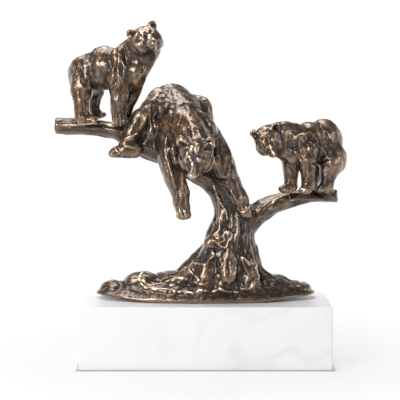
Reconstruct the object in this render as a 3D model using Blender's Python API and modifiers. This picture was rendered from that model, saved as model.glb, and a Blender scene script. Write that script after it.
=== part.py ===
"""Three bears in a leaning tree, one bronze casting seated on a marble block.

Metres, +Z up. The origin is the centre of the block's underside, +X runs to the right of the work
seen from its front, and +Y runs away from the front.

The casting is modelled as a sculptor builds it in clay: overlapping balls and tapered rolls are
gathered into one lump, fused on a fine grain, softened, and cut flat below. Each figure is drawn
full size in millimetres round its own seat, and scales with its own length or height.
"""

import math

import bmesh
import bpy
from mathutils import Matrix, Vector

# The marble block.
PLINTH_LENGTH = 0.200
PLINTH_DEPTH = 0.100
PLINTH_HEIGHT = 0.0505
PLINTH_EDGE = 0.0010

# The bronze ground, an oval mound on the block.
GROUND_LENGTH = 0.180
GROUND_DRAWN = 180.0
GROUND_DEPTH = 0.074
GROUND_RISE = 0.018
GROUND_RIM = 0.0038
GROUND_SETBACK = 0.005
SEAT_GAP = 0.0003

# The tree and the figures. Each drawn size is the one at which the pose points below hold.
TREE_HEIGHT = 0.137
TREE_RISE = 0.0018
TREE_DRAWN = 137.0
LEFT_CUB_LENGTH = 0.078
RIGHT_CUB_LENGTH = 0.078
CUB_DRAWN = 78.0
MOTHER_LENGTH = 0.125
MOTHER_DRAWN = 125.0

# How the clay is fused.
CLAY_GRAIN = 0.0010
SOFTENING = 0.5
SOFTENING_PASSES = 6
FACETS_KEPT = 0.035

BALL_SEGMENTS = 20
BALL_RINGS = 12
ROLL_STEPS = 5
ROLL_SIDES = 3
RIM_STEPS = 32
UP = Vector((0.0, 0.0, 1.0))


class Clay:
    """A lump of overlapping closed forms, gathered in one bmesh."""

    def __init__(self):
        self.mesh = bmesh.new()
        self.unit_ball = bpy.data.meshes.new("unit ball")
        pattern = bmesh.new()
        bmesh.ops.create_uvsphere(
            pattern, u_segments=BALL_SEGMENTS, v_segments=BALL_RINGS, radius=1.0
        )
        pattern.to_mesh(self.unit_ball)
        pattern.free()

    def ball(self, matrix):
        """Adds a unit ball under a matrix, which gives it its place, radii and turn."""
        placed = self.unit_ball.copy()
        placed.transform(matrix)
        self.mesh.from_mesh(placed)
        bpy.data.meshes.remove(placed)

    def roll(self, points, radii, widen=1.0, blunt=False):
        """Adds a tapered roll along points, wider in depth by widen, its last end cut flat if blunt."""
        curve = bpy.data.curves.new("roll", "CURVE")
        curve.dimensions = "3D"
        curve.bevel_depth = 1.0
        curve.bevel_resolution = ROLL_SIDES
        curve.resolution_u = ROLL_STEPS
        curve.use_fill_caps = True
        spline = curve.splines.new("BEZIER")
        spline.radius_interpolation = "CARDINAL"
        spline.bezier_points.add(len(points) - 1)
        for knot, point, radius in zip(spline.bezier_points, points, radii):
            knot.co = (point.x, point.y / widen, point.z)
            knot.radius = radius
            knot.handle_left_type = knot.handle_right_type = "AUTO"
        guide = bpy.data.objects.new("roll", curve)
        bpy.context.scene.collection.objects.link(guide)
        graph = bpy.context.evaluated_depsgraph_get()
        tube = bpy.data.meshes.new_from_object(guide.evaluated_get(graph))
        tube.transform(Matrix.Diagonal((1.0, widen, 1.0, 1.0)))
        self.mesh.from_mesh(tube)
        bpy.data.objects.remove(guide)
        bpy.data.curves.remove(curve)
        bpy.data.meshes.remove(tube)
        ends = [(points[0], radii[0]), (points[-1], radii[-1])]
        for point, radius in ends[:1] if blunt else ends:
            self.ball(Matrix.Translation(point) @ Matrix.Diagonal((radius, radius * widen, radius, 1.0)))

    def finish(self, name):
        """Returns the lump as an object, its loose caps welded."""
        bmesh.ops.remove_doubles(self.mesh, verts=self.mesh.verts, dist=0.00001)
        bmesh.ops.recalc_face_normals(self.mesh, faces=self.mesh.faces)
        data = bpy.data.meshes.new(name)
        self.mesh.to_mesh(data)
        self.mesh.free()
        bpy.data.meshes.remove(self.unit_ball)
        return bpy.data.objects.new(name, data)


class Drawing:
    """Full-size drawing in millimetres round a seat, scaled to a real size."""

    def __init__(self, clay, seat, real, drawn):
        self.clay = clay
        self.seat = Vector(seat)
        self.scale = real / drawn

    def point(self, x, y, z):
        """The place in metres of a drawn point."""
        return self.seat + self.scale * Vector((x, y, z))

    def mass(self, at, radii, along=(1, 0, 0), tilt=UP):
        """Adds an ellipsoid whose first radius lies along a direction and last towards tilt."""
        forward, side, up = axes_of(along, tilt)
        turn = Matrix((forward, side, up)).transposed().to_4x4()
        sizes = [self.scale * radius for radius in radii]
        self.clay.ball(Matrix.Translation(self.point(*at)) @ turn @ Matrix.Diagonal((*sizes, 1.0)))

    def limb(self, *knots, widen=1.0, blunt=False):
        """Adds a tapered roll through knots, each drawn as x, y, z and radius."""
        points = [self.point(*knot[:3]) for knot in knots]
        self.clay.roll(points, [self.scale * knot[3] for knot in knots], widen, blunt)


def axes_of(forward, up):
    """Forward, left and up as unit vectors at right angles, from a direction and a rough up."""
    forward = Vector(forward).normalized()
    side = Vector(up).cross(forward).normalized()
    return forward, side, forward.cross(side)


def model_head(figure, at, radius, look, up):
    """Adds a bear's head: skull, cheeks, brow, muzzle, jaw, nose and ears, as shares of its radius."""
    forward, side, crown = axes_of(look, up)
    centre = Vector(at)

    def place(ahead, left, above):
        return centre + radius * (ahead * forward + left * side + above * crown)

    def lump(spot, sizes):
        figure.mass(place(*spot), [radius * size for size in sizes], forward, crown)

    def taper(*knots):
        figure.limb(*((*place(*knot[:3]), radius * knot[3]) for knot in knots))

    lump((0.0, 0.0, 0.05), (1.0, 0.94, 0.9))
    lump((0.46, 0.0, 0.16), (0.58, 0.70, 0.50))
    taper((0.45, 0.0, -0.14, 0.66), (1.00, 0.0, -0.20, 0.47), (1.40, 0.0, -0.23, 0.36))
    taper((0.45, 0.0, -0.48, 0.50), (1.18, 0.0, -0.50, 0.26))
    lump((1.66, 0.0, -0.11), (0.19, 0.27, 0.19))
    for hand in (-1, 1):
        lump((0.34, hand * 0.52, -0.30), (0.68, 0.46, 0.58))
        lump((0.74, hand * 0.37, 0.22), (0.24, 0.24, 0.17))
        ear = place(-0.10, hand * 0.76, 0.74)
        rim = (radius * 0.20, radius * 0.34, radius * 0.38)
        figure.mass(ear, rim, forward + hand * 0.35 * side, crown)


def model_paw(figure, wrist, toe, radius):
    """Adds a paw from wrist to toe, with four knuckles across its front."""
    wrist, toe = Vector(wrist), Vector(toe)
    forward, side, up = axes_of(toe - wrist, UP)
    figure.limb((*wrist, radius), (*toe, radius * 0.8))
    for place in (-0.78, -0.26, 0.26, 0.78):
        knuckle = toe + radius * (place * side + (0.5 - 0.3 * abs(place)) * forward - 0.1 * up)
        figure.mass(knuckle, (radius * 0.60, radius * 0.31, radius * 0.46), forward, up)


def model_ground(clay, top):
    """Adds the oval mound, its raised rim, the terrace at its front and the swells on it."""
    centre = Vector((0.0, GROUND_SETBACK, top))
    half_length = GROUND_LENGTH / 2
    half_depth = GROUND_DEPTH / 2
    dome = Matrix.Diagonal((half_length * 0.985, half_depth * 0.97, GROUND_RISE, 1.0))
    clay.ball(Matrix.Translation(centre + GROUND_RIM * 0.4 * UP) @ dome)
    rim = []
    for step in range(RIM_STEPS + 1):
        turn = 2 * math.pi * step / RIM_STEPS
        reach = Vector((half_length * math.cos(turn), half_depth * math.sin(turn), 0.0))
        inward = GROUND_RIM * reach.normalized()
        rim.append(centre + reach - inward + GROUND_RIM * 0.35 * UP)
    clay.roll(rim, [GROUND_RIM] * len(rim))

    mound = Drawing(clay, centre, GROUND_LENGTH, GROUND_DRAWN)
    mound.limb((-56, -10, 14, 4), (-51, -17, 10, 4.2), (-42, -23, 7.5, 3.6), (-28, -26, 6, 3.4))
    mound.limb((-28, -26, 6, 3.4), (-12, -29, 5.5, 3.2), (4, -29, 5, 3.4), (20, -27, 5, 3.6))
    mound.limb((38, -25, 6, 4), (48, -20, 8, 4.4), (50, -12, 12, 4.2))
    mound.mass((-51, -4, 13), (16, 14, 8.8))
    mound.mass((-28, 6, 13), (18, 20, 8))
    mound.mass((52, 2, 10.3), (19, 19, 8.8))
    mound.mass((73.5, 0, 7), (13.5, 16, 6.8))
    mound.mass((-75, 0, 7), (12.5, 16, 7))


def model_tree(tree):
    """Adds the leaning trunk, its two limbs cut blunt, the roots, the bark folds and the knot."""
    tree.limb(
        (14, 4, 8, 27),
        (16, 4, 22, 25.5),
        (18.5, 4, 35, 22.5),
        (20, 4, 46, 21.2),
        (21.8, 4, 57, 18.4),
        (22, 4, 68, 15.9),
        (17.6, 3, 80, 13.4),
        (8.5, 3, 92, 11.4),
        (-12, 3, 106, 11.4),
        (-34, 3, 117.5, 11.2),
        (-52, 3, 124.8, 11),
        (-69, 3, 133.2, 8),
        (-86, 3, 136.4, 6.8),
        (-104, 3, 137.8, 6.7),
        (-121.8, 3, 138.3, 6.9),
        widen=1.15,
        blunt=True,
    )
    tree.limb(
        (24, 3, 52, 15),
        (36, 2, 61.8, 10.5),
        (47.5, 1, 70.6, 9),
        (61, 0, 76.8, 7.7),
        (78, 0, 80.8, 5.9),
        (94, 0, 81.6, 5.0),
        (107.3, 0, 81.4, 5.6),
        widen=1.3,
        blunt=True,
    )
    tree.limb((7, -2, 40, 7), (-1, -7, 28, 7.4), (-12, -11, 18, 7.6), (-26, -14, 9, 7))
    tree.limb((8, -10, 36, 8), (3, -15, 24, 9), (-3, -19, 12, 9))
    tree.limb((28, -8, 42, 8), (32, -12, 27, 9), (36, -16, 12, 9))
    tree.limb((37, 2, 38, 6), (38.5, 1, 28, 7), (42, 0, 19, 7), (55, 0, 10.5, 6.5))
    tree.limb((26, -11, 66, 4), (23, -14.5, 52, 5), (19, -17.5, 36, 6), (18, -21, 18, 8))
    tree.limb((14, -8, 80, 4), (14.5, -11, 66, 4.4), (10, -12.5, 54, 5), (4, -13.5, 44, 6))
    tree.limb((20, 20, 44, 9), (17, 26, 26, 10), (14, 30, 10, 8))
    tree.limb((2, 16, 34, 8), (-14, 20, 18, 8), (-26, 22, 8, 6))
    tree.mass((11, -15, 48), (7, 5, 4.2), (1, 0, 0.35))
    tree.mass((18, -15.5, 52), (4.5, 4.5, 4.5))
    tree.mass((35, -15, 26), (6.5, 6, 9))


def model_left_cub(cub):
    """Adds the cub on the left limb: body turned a little to the front, head raised to the right."""
    heading = (0.92, -0.38, 0.0)
    cub.mass((-8.7, 4, 38.5), (15.5, 13.5, 17.2), heading)
    cub.mass((5.5, 0.5, 43.8), (18, 14, 18.6), heading)
    cub.mass((-3, 3, 48), (15, 11, 9.5), (0.9, -0.38, 0.25))
    cub.mass((-12, -4, 31), (9.5, 8.5, 13.5), heading)
    cub.mass((19, -10, 40), (8, 7, 15.5), (0.9, -0.4, -0.2))
    cub.mass((24.8, -6, 42), (14, 13, 18), heading)
    cub.limb((23, -6, 49, 13.5), (31.3, -9, 57, 12.4), (38.5, -11, 63.5, 11.8))
    cub.limb((41.6, -12, 58, 10), (36, -11.5, 48, 10.4), (31, -10, 37, 9))
    cub.limb((-12, -5, 27, 9.8), (-12, -8, 15, 7), (-11.5, -8.5, 7, 6.2), (-11, -9, 3.5, 5.8))
    model_paw(cub, (-10, -9, 3.5), (-2, -11.5, 2.4), 4.8)
    cub.limb((-3, 13, 26, 9), (-3.5, 14.5, 14, 5.2), (-3, 14.5, 8, 4.4))
    model_paw(cub, (-1, 14, 6), (4.5, 12.5, 6), 3.8)
    cub.limb((18, -12, 35, 10), (18.5, -14, 22, 8), (18.5, -14.5, 11, 7), (18.5, -15, 4, 6.2))
    model_paw(cub, (18, -15, 3.5), (22, -19, 2.5), 5)
    cub.limb((30.5, 1, 35, 9), (28.8, 2, 24, 6.4), (24.8, 2.5, 12, 5.6), (23.5, 2.5, 4, 5))
    model_paw(cub, (23.5, 2, 3.5), (27, -2, 2.5), 4.4)
    model_head(cub, (40.8, -14, 66.3), 12.3, (0.34, -0.90, 0.20), (-0.42, 0.1, 1.0))


def model_right_cub(cub):
    """Adds the cub on the right limb: rump high at the right, head lowered and turned to the front."""
    heading = (-0.86, -0.5, 0.0)
    cub.mass((13.3, 8, 37), (16.5, 15.5, 21), heading)
    cub.mass((19.8, 3, 26), (12.4, 12, 15), heading)
    cub.mass((1.5, 0, 39.3), (17, 13.5, 17.5), heading)
    cub.mass((-9, -8, 36), (12, 11.5, 17), heading)
    cub.mass((-4, -11, 36), (8.5, 7, 14), (0.3, -0.2, 1))
    cub.mass((-17, -8, 46), (12, 10, 10.5), (-0.9, -0.4, 0.1))
    cub.limb((-12, -7, 42, 13.5), (-22, -12, 44, 12.5), (-30, -16, 43, 11))
    cub.limb((-25, -15, 36, 8.5), (-18, -13, 32, 9), (-12.5, -10, 27, 9))
    cub.limb((-14.5, -9, 28, 8.5), (-14.5, -10, 15, 6.4), (-14.5, -10.5, 5, 6))
    model_paw(cub, (-15, -11, 3.5), (-20, -15, 2.6), 4.9)
    cub.limb((-1.8, -13, 32, 8.5), (-1, -16, 18, 6.6), (-0.8, -16.5, 7, 5.8))
    model_paw(cub, (-1, -16.5, 3.5), (-4, -20.5, 2.4), 4.6)
    cub.limb((18.5, -2, 22, 10.5), (15.8, -5, 11, 7.4), (14.8, -6, 4, 6.5))
    model_paw(cub, (14, -6.5, 3.5), (9, -11, 2.4), 4.8)
    cub.limb((8, 12, 20, 8.5), (6, 12, 10, 5.6), (5, 11.5, 4, 5))
    model_paw(cub, (4, 11, 3.5), (-1, 8.5, 2.4), 4.2)
    model_head(cub, (-33.6, -19.5, 43), 11.6, (0.20, -0.86, -0.46), (-0.30, -0.3, 0.9))


def model_mother(bear):
    """Adds the mother, astride the limb, one arm hanging and the other laid along the trunk."""
    heading = (0.35, -0.9, -0.35)
    bear.mass((-15, 22, 44.8), (17, 18.5, 17), heading)
    bear.mass((-13, 14, 42.5), (18, 19, 16.5), heading)
    bear.mass((-7, 0, 34), (18, 18, 16), heading)
    bear.mass((-10.5, 8, 39), (19.5, 21, 17), heading)
    bear.mass((-3, -7, 27), (18, 23, 16.5), heading)
    bear.mass((-15, -10, 26), (14, 8, 17), (0.2, -0.5, -1))
    bear.mass((11.5, -8, 24), (14, 9, 12), (0.5, -0.4, -1))
    bear.limb((-4, -16, 28, 14.5), (1, -25, 20.5, 14.8), (5, -32, 13, 13.8))
    bear.limb(
        (-16, -10, 16, 12),
        (-15.8, -16, -2, 9.2),
        (-10.8, -19, -16, 8.6),
        (-7, -21, -27.5, 7.4),
        (-6, -22, -36, 6.8),
    )
    model_paw(bear, (-5.8, -22, -36.5), (-5, -24.5, -41.5), 6)
    bear.limb(
        (13.5, -4, 19, 12.5),
        (20.8, -8, 9, 11),
        (26.4, -10, -3.5, 10.4),
        (33.5, -12, -18, 8.4),
        (40.5, -14, -31, 7.4),
    )
    model_paw(bear, (41.5, -14, -33), (45.5, -16.5, -40.5), 6.6)
    bear.mass((-31, 4, 37), (11, 10, 12), (-0.3, -0.8, -0.3))
    bear.mass((-30, 0, 24), (15, 11, 13), (-0.3, -0.8, -0.3))
    bear.limb((-24, 14, 46, 12.6), (-33, 0, 37.5, 10.4), (-39, -8, 34, 8.5))
    bear.limb((-39, -9, 35, 8), (-44, -12, 27, 7.2), (-48, -14, 19, 6.8), (-51, -15, 13.5, 6))
    model_paw(bear, (-44, -15.5, 8.5), (-59.5, -18, 6.5), 6.4)
    bear.limb(
        (-6, 27, 41, 10.5),
        (7.5, 25, 44, 8.4),
        (12.6, 21, 39.5, 7.4),
        (13, 16, 29, 6.4),
        (12.5, 11, 18, 6),
    )
    model_head(bear, (5.6, -39, 8.6), 14.6, (-0.14, -0.68, -0.72), (-0.1, -0.72, 0.66))


def new_material(name, colour, roughness, metallic):
    """A plain finish of one colour."""
    material = bpy.data.materials.new(name)
    material.use_nodes = True
    shader = material.node_tree.nodes["Principled BSDF"]
    shader.inputs["Base Color"].default_value = (*colour, 1.0)
    shader.inputs["Roughness"].default_value = roughness
    shader.inputs["Metallic"].default_value = metallic
    return material


def new_box(name, low, high):
    """A box between two corners, its place in its mesh."""
    data = bpy.data.meshes.new(name)
    mesh = bmesh.new()
    low, high = Vector(low), Vector(high)
    place = Matrix.Translation((low + high) / 2) @ Matrix.Diagonal((*(high - low), 1.0))
    bmesh.ops.create_cube(mesh, size=1.0, matrix=place)
    mesh.to_mesh(data)
    mesh.free()
    return bpy.data.objects.new(name, data)


def make_plinth(collection):
    """The marble block, its edges rounded over."""
    half_length, half_depth = PLINTH_LENGTH / 2, PLINTH_DEPTH / 2
    block = new_box(
        "marble_plinth", (-half_length, -half_depth, 0.0), (half_length, half_depth, PLINTH_HEIGHT)
    )
    bevel = block.modifiers.new("Rounded edges", "BEVEL")
    bevel.width = PLINTH_EDGE
    bevel.segments = 3
    block.data.materials.append(new_material("white marble", (0.86, 0.85, 0.84), 0.22, 0.0))
    collection.objects.link(block)
    return block


def make_casting(collection, cutters):
    """The bronze casting: all the clay fused, softened, thinned and cut flat on the block."""
    clay = Clay()
    top = PLINTH_HEIGHT + SEAT_GAP
    model_ground(clay, top)
    tree = Drawing(clay, (0.0, 0.0, top + TREE_RISE), TREE_HEIGHT, TREE_DRAWN)
    model_tree(tree)
    model_left_cub(Drawing(clay, tree.point(-88, 2, 141), LEFT_CUB_LENGTH, CUB_DRAWN))
    model_right_cub(Drawing(clay, tree.point(83, 0, 86), RIGHT_CUB_LENGTH, CUB_DRAWN))
    model_mother(Drawing(clay, tree.point(-12.8, 3, 111), MOTHER_LENGTH, MOTHER_DRAWN))
    casting = clay.finish("bronze_bears")
    collection.objects.link(casting)

    fuse = casting.modifiers.new("Fuse", "REMESH")
    fuse.mode = "VOXEL"
    fuse.voxel_size = CLAY_GRAIN
    soften = casting.modifiers.new("Soften", "SMOOTH")
    soften.factor = SOFTENING
    soften.iterations = SOFTENING_PASSES
    thin = casting.modifiers.new("Thin out", "DECIMATE")
    thin.ratio = FACETS_KEPT

    below = new_box(
        "below_the_seat", (-PLINTH_LENGTH, -PLINTH_DEPTH, -PLINTH_HEIGHT), (PLINTH_LENGTH, PLINTH_DEPTH, top)
    )
    below.hide_render = True
    below.display_type = "WIRE"
    cutters.objects.link(below)
    seat = casting.modifiers.new("Flat seat", "BOOLEAN")
    seat.operation = "DIFFERENCE"
    seat.object = below
    casting.data.materials.append(new_material("brown bronze", (0.16, 0.11, 0.07), 0.38, 0.9))
    return casting


def main():
    for leftover in list(bpy.data.objects):
        bpy.data.objects.remove(leftover)
    parts = bpy.data.collections.new("Bears in a tree")
    cutters = bpy.data.collections.new("Cutters")
    bpy.context.scene.collection.children.link(parts)
    bpy.context.scene.collection.children.link(cutters)
    make_plinth(parts)
    make_casting(parts, cutters)


main()
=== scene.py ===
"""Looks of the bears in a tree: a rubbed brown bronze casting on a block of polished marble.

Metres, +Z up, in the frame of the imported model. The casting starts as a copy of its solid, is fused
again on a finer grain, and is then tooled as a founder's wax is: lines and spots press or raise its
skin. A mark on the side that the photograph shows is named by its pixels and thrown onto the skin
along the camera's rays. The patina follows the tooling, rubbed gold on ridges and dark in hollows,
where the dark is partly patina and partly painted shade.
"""

import logging
import math
from collections.abc import Sequence
from dataclasses import dataclass, field, replace
from enum import Enum
from typing import Any, NamedTuple

import bpy
import numpy as np
from mathutils import Matrix, Vector, noise
from mathutils.bvhtree import BVHTree


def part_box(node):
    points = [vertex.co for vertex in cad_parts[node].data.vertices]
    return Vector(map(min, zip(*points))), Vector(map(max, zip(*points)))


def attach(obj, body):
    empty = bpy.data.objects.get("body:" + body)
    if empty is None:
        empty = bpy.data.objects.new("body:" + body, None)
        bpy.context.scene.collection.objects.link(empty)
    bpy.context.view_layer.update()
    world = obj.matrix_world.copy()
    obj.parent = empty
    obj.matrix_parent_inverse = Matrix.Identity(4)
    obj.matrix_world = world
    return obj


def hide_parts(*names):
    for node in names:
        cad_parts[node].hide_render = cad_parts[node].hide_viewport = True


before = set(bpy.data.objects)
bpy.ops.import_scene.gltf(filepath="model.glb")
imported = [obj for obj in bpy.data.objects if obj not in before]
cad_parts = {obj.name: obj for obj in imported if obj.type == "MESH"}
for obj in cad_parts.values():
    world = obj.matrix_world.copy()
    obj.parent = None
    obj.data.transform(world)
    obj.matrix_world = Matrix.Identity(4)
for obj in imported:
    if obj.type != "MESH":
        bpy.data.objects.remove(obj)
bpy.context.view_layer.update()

MM = 0.001
log = logging.getLogger("bears")

Pixel = tuple[float, float]
Share = tuple[float, float, float]
Span = tuple[float, float]
Girth = tuple[tuple[float, ...], tuple[float, ...]]
Colour = tuple[float, float, float, float]


class Tool(Enum):
    """What a mark does to the skin: a ridge, a ridge rubbed through to gold, or a groove."""

    RIDGE = "ridge"
    CREST = "crest"
    GROOVE = "groove"

    @property
    def lift(self) -> float:
        """The share of the mark's height that is added to the skin."""
        return -1.0 if self is Tool.GROOVE else 1.0

    @property
    def rub(self) -> float:
        """How far the patina is rubbed through along the mark."""
        return 1.0 if self is Tool.CREST else 0.0


def axes_of(forward: Vector, up: Vector) -> tuple[Vector, Vector, Vector]:
    """Forward, left and up at right angles.

    Args:
        forward: the main direction.
        up: a rough upward direction.

    Returns:
        Three unit vectors.
    """
    ahead = forward.normalized()
    side = up.cross(ahead).normalized()
    return ahead, side, ahead.cross(side)


def bare_selection() -> None:
    """Deselects every object."""
    bpy.ops.object.select_all(action="DESELECT")


def make_active(piece: bpy.types.Object) -> None:
    """Selects one object alone and makes it active.

    Args:
        piece: the object.
    """
    bare_selection()
    piece.select_set(True)
    bpy.context.view_layer.objects.active = piece


def finish_with(piece: bpy.types.Object, kind: str, **settings: Any) -> None:
    """Adds a modifier and applies it.

    Args:
        piece: the object that takes it.
        kind: the modifier's type.
        **settings: its settings by name.
    """
    make_active(piece)
    modifier = piece.modifiers.new(kind.title(), kind)
    for name, value in settings.items():
        setattr(modifier, name, value)
    bpy.ops.object.modifier_apply(modifier=modifier.name)


def read_vectors(mesh: bpy.types.Mesh, name: str) -> np.ndarray:
    """Reads one vector of every point of a mesh.

    Args:
        mesh: the mesh.
        name: "co" for the places, "normal" for the normals.

    Returns:
        A row of three numbers for each point.
    """
    flat = np.empty(len(mesh.vertices) * 3, np.float32)
    mesh.vertices.foreach_get(name, flat)
    return flat.reshape(-1, 3).astype(np.float64)


def write_points(mesh: bpy.types.Mesh, points: np.ndarray) -> None:
    """Moves every point of a mesh to its new place."""
    mesh.vertices.foreach_set("co", points.astype(np.float32).ravel())
    mesh.update()


def inside(points: np.ndarray, low: np.ndarray, high: np.ndarray) -> np.ndarray:
    """The indices of the points inside a box."""
    return np.flatnonzero(((points > low) & (points < high)).all(axis=1))


def unit(values: np.ndarray) -> np.ndarray:
    """Values kept between 0 and 1."""
    return np.clip(values, 0.0, 1.0)


def eased(share: np.ndarray) -> np.ndarray:
    """Shares that leave 0 and reach 1 gently."""
    return share * share * (3.0 - 2.0 * share)


@dataclass(frozen=True)
class PhotoView:
    """The camera that took the photograph, its lens in pixels of a square frame."""

    block_top: float
    frame_width: int = 400
    lens: float = 1598.5
    sensor: float = 36.0
    sideways: float = -4.5 * MM
    distance: float = 1294.0 * MM
    above_block: float = 188.0 * MM
    pitch: float = math.radians(4.75)

    @property
    def eye(self) -> Vector:
        """Where the camera stands."""
        return Vector((self.sideways, -self.distance, self.block_top + self.above_block))

    def ray(self, pixel: Pixel) -> Vector:
        """The direction in which a pixel looks.

        Args:
            pixel: column and row in the photograph.

        Returns:
            A unit vector.
        """
        half = self.frame_width / 2
        across = (pixel[0] - half) / self.lens
        down = (pixel[1] - half) / self.lens
        forward = Vector((0.0, math.cos(self.pitch), -math.sin(self.pitch)))
        upward = Vector((0.0, math.sin(self.pitch), math.cos(self.pitch)))
        return (forward + across * Vector((1.0, 0.0, 0.0)) - down * upward).normalized()

    def make_camera(self) -> None:
        """Adds the camera and makes it the scene's."""
        bare_selection()
        turn = (math.pi / 2 - self.pitch, 0.0, 0.0)
        bpy.ops.object.camera_add(location=self.eye, rotation=turn)
        camera = bpy.context.active_object
        camera.name = "photo_camera"
        camera.data.sensor_width = self.sensor
        camera.data.lens = self.sensor * self.lens / self.frame_width
        bpy.context.scene.camera = camera


@dataclass(frozen=True)
class Mark:
    """Tooling on the side that the photograph shows: a line through pixels, or a round spot at one.

    Its height or depth and its width are in millimetres.
    """

    tool: Tool
    height: float
    width: float
    path: tuple[Pixel, ...]


def ridge(height: float, width: float, *path: Pixel) -> Mark:
    """A raised line or lump."""
    return Mark(Tool.RIDGE, height, width, path)


def crest(height: float, width: float, *path: Pixel) -> Mark:
    """A raised line or knob, rubbed to gold."""
    return Mark(Tool.CREST, height, width, path)


def groove(height: float, width: float, *path: Pixel) -> Mark:
    """A cut line or a dent."""
    return Mark(Tool.GROOVE, height, width, path)


def between(a: float, b: float, c: float, d: float, t: float) -> float:
    """The value of a smooth curve through four knots, a share t of the way from b to c."""
    bend = (2 * a - 5 * b + 4 * c - d) * t**2
    return 0.5 * (2 * b + (c - a) * t + bend + (3 * b - a - 3 * c + d) * t**3)


def smooth_line(knots: Sequence[Pixel], points_per_pixel: int = 2) -> list[Pixel]:
    """A smooth line through a few pixels. A single pixel stays as it is.

    Args:
        knots: the pixels.
        points_per_pixel: how close the line's points lie.

    Returns:
        The line's points.
    """
    if len(knots) == 1:
        return list(knots)
    ends = [knots[0], *knots, knots[-1]]
    line: list[Pixel] = []
    for corners in zip(ends, ends[1:], ends[2:], ends[3:]):
        count = max(2, int(math.dist(corners[1], corners[2]) * points_per_pixel))
        for step in range(count):
            column, row = (between(*values, step / count) for values in zip(*corners))
            line.append((column, row))
    return line


@dataclass(frozen=True)
class Rub:
    """A row of places where hands have worn the patina through."""

    places: np.ndarray
    width: float
    strength: np.ndarray


class Skin:
    """The surface of a dense mesh as arrays, with the tools that move its points.

    REACH and MOAT_SPREAD are in widths of a mark, TURN_FADE and TURN_ENDS in radii of a turned part.
    """

    REACH = 3.2
    MOAT_SPREAD = 2.4
    MOAT_SHARE = 0.30
    TAPER = 0.45
    WAVER_MEAN = 0.95
    WAVER_SWING = 1.2
    WAVER_PITCH = 210.0
    WAVER_LIMITS = (0.35, 1.35)
    TURN_FADE = 0.9
    TURN_ENDS = 2.3

    def __init__(self, piece: bpy.types.Object, view: PhotoView) -> None:
        """Reads the mesh.

        Args:
            piece: the object to tool.
            view: the photograph's camera.
        """
        self.piece = piece
        self.view = view
        self.rubs: list[Rub] = []
        self.refresh()

    def refresh(self) -> None:
        """Reads points, normals and the search tree from the mesh."""
        self.points = read_vectors(self.piece.data, "co")
        self.normals = read_vectors(self.piece.data, "normal")
        self.search = BVHTree.FromObject(self.piece, bpy.context.evaluated_depsgraph_get())

    def store(self) -> None:
        """Writes the points back to the mesh."""
        write_points(self.piece.data, self.points)
        self.refresh()

    def seen_at(self, pixel: Pixel) -> Vector | None:
        """The point of the skin that a pixel of the photograph shows, None where it misses."""
        return self.search.ray_cast(self.view.eye, self.view.ray(pixel))[0]

    def tool_along(self, places: np.ndarray, lift: float, width: float, rub: float) -> None:
        """Moves the skin along its normals near a row of places, with a shallow moat beside it.

        Args:
            places: the row of places, in metres.
            lift: how far the skin moves at the row, in metres.
            width: the distance at which the move has faded to about a third.
            rub: how far the patina is rubbed through there.
        """
        waver = np.ones(len(places))
        if len(places) > 2:
            drift = [noise.noise(Vector(place) * self.WAVER_PITCH) for place in places]
            waver = np.clip(self.WAVER_MEAN + self.WAVER_SWING * np.array(drift), *self.WAVER_LIMITS)
        if rub > 0.0:
            self.rubs.append(Rub(places, width, rub * waver))
        reach = self.REACH * width
        near = inside(self.points, places.min(axis=0) - reach, places.max(axis=0) + reach)
        if not len(near):
            return
        gaps = np.linalg.norm(self.points[near, None, :] - places[None], axis=2)
        closest = gaps.argmin(axis=1)
        away = gaps.min(axis=1) / width
        fade = (1.0 + self.MOAT_SHARE) * np.exp(-(away**2))
        fade -= self.MOAT_SHARE * np.exp(-((away / self.MOAT_SPREAD) ** 2))
        if len(places) > 2:
            along = (closest + 0.5) / len(places)
            fade *= waver[closest] * np.sin(math.pi * along) ** self.TAPER
        self.points[near] += (lift * fade)[:, None] * self.normals[near]

    def tool(self, mark: Mark) -> None:
        """Tools one mark where its pixels meet the skin.

        Args:
            mark: the line or spot.
        """
        seen = [self.seen_at(pixel) for pixel in smooth_line(mark.path)]
        places = np.array([tuple(place) for place in seen if place is not None])
        if len(places) >= min(2, len(mark.path)):
            lift = mark.tool.lift * mark.height * MM
            self.tool_along(places, lift, mark.width * MM, mark.tool.rub)

    def turn(self, centre: Vector, radius: float, turn: Matrix) -> None:
        """Turns the skin round a centre, fading out through the neck.

        Args:
            centre: the middle of the turned part.
            radius: the radius of the part.
            turn: the rotation.
        """
        away = self.points - np.array(tuple(centre))
        share = (self.TURN_ENDS - np.linalg.norm(away, axis=1) / radius) / self.TURN_FADE
        share = eased(unit(share))
        near = np.flatnonzero(share > 0.0)
        turned = away[near] @ np.array(turn).T
        self.points[near] += share[near, None] * (turned - away[near])
        self.store()

    def relief(self, moves: np.ndarray) -> None:
        """Moves every point along its normal by a distance of its own, in metres."""
        self.points += moves[:, None] * self.normals
        self.store()


@dataclass(frozen=True)
class FaceMark:
    """Tooling of a face: a line through points, or a round spot at one.

    All in radii of the head. A point is counted ahead, to the side and above the skull's centre. A
    lift below zero presses.
    """

    lift: float
    width: float
    path: tuple[Share, ...]
    rub: float = 0.0


LIP = FaceMark(-0.06, 0.07, ((1.62, 0.10, -0.40), (1.30, 0.34, -0.46), (0.92, 0.50, -0.44)))
RUFF = FaceMark(0.06, 0.14, ((0.30, 0.98, 0.10), (0.26, 0.96, -0.40), (0.44, 0.72, -0.86)))
EAR = FaceMark(-0.20, 0.16, ((0.06, 0.78, 0.76),))
NOSTRIL = FaceMark(-0.05, 0.06, ((1.80, 0.12, -0.12),))
NOSE = FaceMark(0.05, 0.16, ((1.82, 0.0, -0.06),), 0.7)
MOUTH = FaceMark(-0.05, 0.05, ((1.84, 0.0, -0.20), (1.76, 0.0, -0.34), (1.62, 0.0, -0.42)))


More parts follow.
